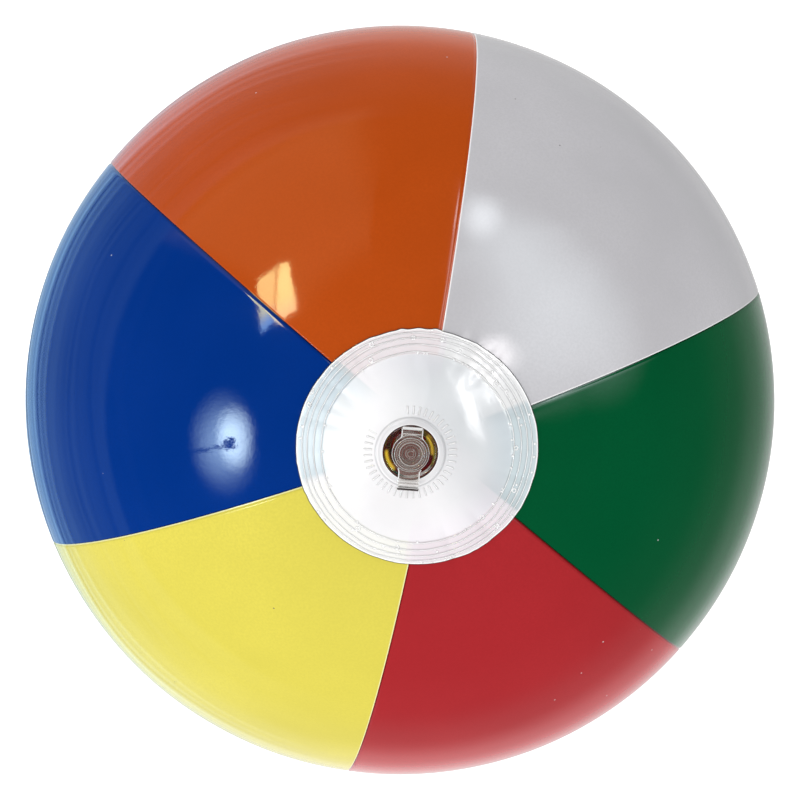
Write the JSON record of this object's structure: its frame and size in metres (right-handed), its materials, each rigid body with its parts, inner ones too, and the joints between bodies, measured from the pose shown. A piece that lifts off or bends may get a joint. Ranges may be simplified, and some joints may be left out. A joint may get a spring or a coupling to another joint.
{
  "type": "inflatable beach ball",
  "caption": "Round inflatable vinyl beach ball with coloured lap-welded panels, an end disc over each pole and a push-in stopper valve on a hinged strap.",
  "frame": {"origin": "centre of the inflated ball", "axes": "+Z along the valve's axis, out of the ball; +Y from the root of the plug's strap towards the plug's pull tab"},
  "size_m": [0.2634, 0.2634, 0.2682],
  "materials": {
    "vinyl_orange": "glossy soft vinyl film",
    "vinyl_white": "glossy soft vinyl film",
    "vinyl_green": "glossy soft vinyl film",
    "vinyl_red": "glossy soft vinyl film",
    "vinyl_yellow": "glossy soft vinyl film",
    "vinyl_blue": "glossy soft vinyl film",
    "vinyl_milky": "glossy milky translucent vinyl",
    "vinyl_clear": "glossy clear soft vinyl"
  },
  "bodies": {
    "ball": {"panel_orange": "vinyl_orange", "panel_white": "vinyl_white", "panel_green": "vinyl_green", "panel_red": "vinyl_red", "panel_yellow": "vinyl_yellow", "panel_blue": "vinyl_blue", "valve_end_disc": "vinyl_milky", "plain_end_disc": "vinyl_milky", "valve_flange": "vinyl_milky", "valve_skirt": "vinyl_clear"},
    "stem": {"valve_stem": "vinyl_clear", "hinge_strap": "vinyl_clear"},
    "plug": {"plug": "vinyl_clear", "pull_tab": "vinyl_clear"},
    "flap": {"check_flap": "vinyl_clear"}
  },
  "joints": [
    {"name": "valve_push", "type": "slide", "parent": "ball", "child": "stem", "axis": [0, 0, 1], "range_m": [0, 0.011], "deforming": ["valve_skirt"]},
    {"name": "plug_hinge", "type": "hinge", "parent": "stem", "child": "plug", "pos_m": [0, -0.00875, 0.13415], "axis": [1, 0, 0], "range_deg": [0, 165], "deforming": ["hinge_strap"]},
    {"name": "flap_hinge", "type": "hinge", "parent": "stem", "child": "flap", "pos_m": [0, -0.004, 0.1223], "axis": [-1, 0, 0], "range_deg": [0, 60], "stiffness_Nm_per_rad": 0.0001}
  ]
}
